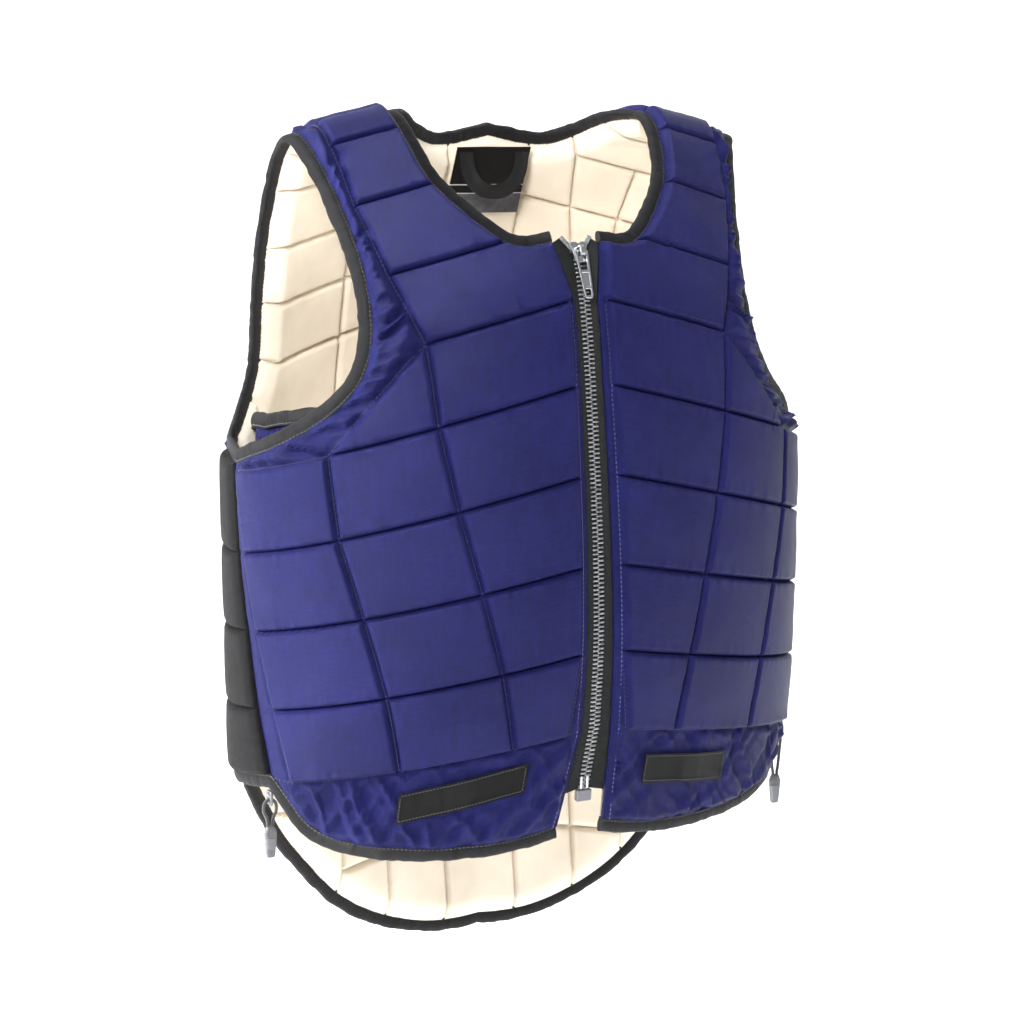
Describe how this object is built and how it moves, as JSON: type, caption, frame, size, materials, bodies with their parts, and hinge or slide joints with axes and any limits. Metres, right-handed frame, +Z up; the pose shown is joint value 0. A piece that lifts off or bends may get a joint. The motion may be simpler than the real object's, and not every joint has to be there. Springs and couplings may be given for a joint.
{
  "type": "equestrian body protector",
  "caption": "Sleeveless padded riding vest of quilted foam blocks with a front zip, bound edges, cream lining, longer tail and side cords.",
  "frame": {"origin": "midway between the two shoulder seams, level with the underside of the shoulder straps where they rest on the wearer", "axes": "+Z up, -Y the way the front faces, +X the wearer's left"},
  "size_m": [0.418, 0.2291, 0.59],
  "materials": {
    "navy": "satin woven cloth",
    "lining": "smooth cream cloth",
    "black": "black tape and ribbed cloth",
    "tape": "woven zip tape",
    "teeth": "dark coil",
    "metal": "bright cast metal",
    "label": "woven label",
    "cord_end": "moulded plastic"
  },
  "bodies": {
    "vest": {"front_panel_right": "navy", "front_lining_right": "lining", "front_panel_left": "navy", "front_lining_left": "lining", "back_panel": "navy", "back_lining": "lining", "side_band_right": "black", "side_band_left": "black", "neck_binding": "black", "armhole_binding_right": "black", "armhole_binding_left": "black", "hem_binding": "black", "zip_chain": "teeth", "zip_tape_right": "tape", "zip_teeth_right": "teeth", "zip_tape_left": "tape", "zip_teeth_left": "teeth", "zip_slider": "metal", "zip_bridge": "metal", "zip_stop": "metal", "hem_label_right": "label", "hem_label_left": "label", "neck_label": "label", "hang_loop": "black", "underarm_wing_right": "navy", "wing_binding_right": "black", "underarm_wing_left": "navy", "wing_binding_left": "black", "lace_ring_right": "metal", "side_cord_right": "black", "cord_end_right": "cord_end", "lace_ring_left": "metal", "side_cord_left": "black", "cord_end_left": "cord_end"},
    "pull_tab": {"zip_pull": "metal"}
  },
  "joints": [
    {"name": "pull_tab_hinge", "type": "hinge", "parent": "vest", "child": "pull_tab", "pos_m": [0, -0.09146, -0.07348], "axis": [-1, 0, 0], "range_deg": [0, 140]}
  ]
}
